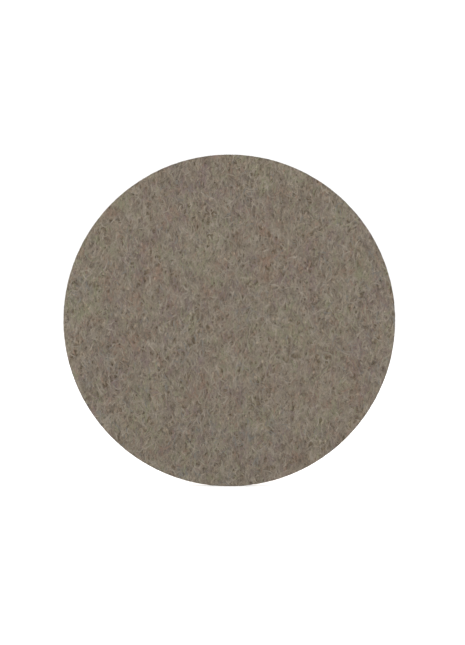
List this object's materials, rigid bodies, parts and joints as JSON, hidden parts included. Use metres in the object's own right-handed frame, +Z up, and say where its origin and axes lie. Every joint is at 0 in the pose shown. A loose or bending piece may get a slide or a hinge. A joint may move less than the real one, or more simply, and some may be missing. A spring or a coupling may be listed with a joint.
{
  "type": "felt polishing disc",
  "caption": "Round stick-on wool felt polishing disc with an adhesive back and a split release liner, for a lapidary machine's flat face plate.",
  "frame": {"origin": "centre of the adhesive face, where the disc meets the machine's face plate", "axes": "+Y is the spin axis, out of the sticky back; the polishing face looks along -Y; +Z up the face and +X to the right of someone facing the felt"},
  "size_m": [0.1524, 0.0068, 0.1524],
  "materials": {
    "wool_felt": "dense pressed wool in mixed grey, brown and tan fibres",
    "adhesive": "tacky amber acrylic adhesive, the felt's hairs showing through",
    "polyester_film": "smooth clear film",
    "liner_paper": "kraft paper with a faint silicone sheen"
  },
  "bodies": {
    "pad": {"felt_disc": "wool_felt", "felt_side_adhesive": "adhesive", "carrier_film": "polyester_film", "plate_side_adhesive": "adhesive"},
    "liner_left": {"release_liner_left": "liner_paper"},
    "liner_right": {"release_liner_right": "liner_paper"}
  },
  "joints": [
    {"name": "left_liner_peel", "type": "hinge", "parent": "pad", "child": "liner_left", "pos_m": [-0.0765, 0, 0], "axis": [0, 0, 1], "range_deg": [0, 170]},
    {"name": "right_liner_peel", "type": "hinge", "parent": "pad", "child": "liner_right", "pos_m": [0.0765, 0, 0], "axis": [0, 0, -1], "range_deg": [0, 170]}
  ]
}
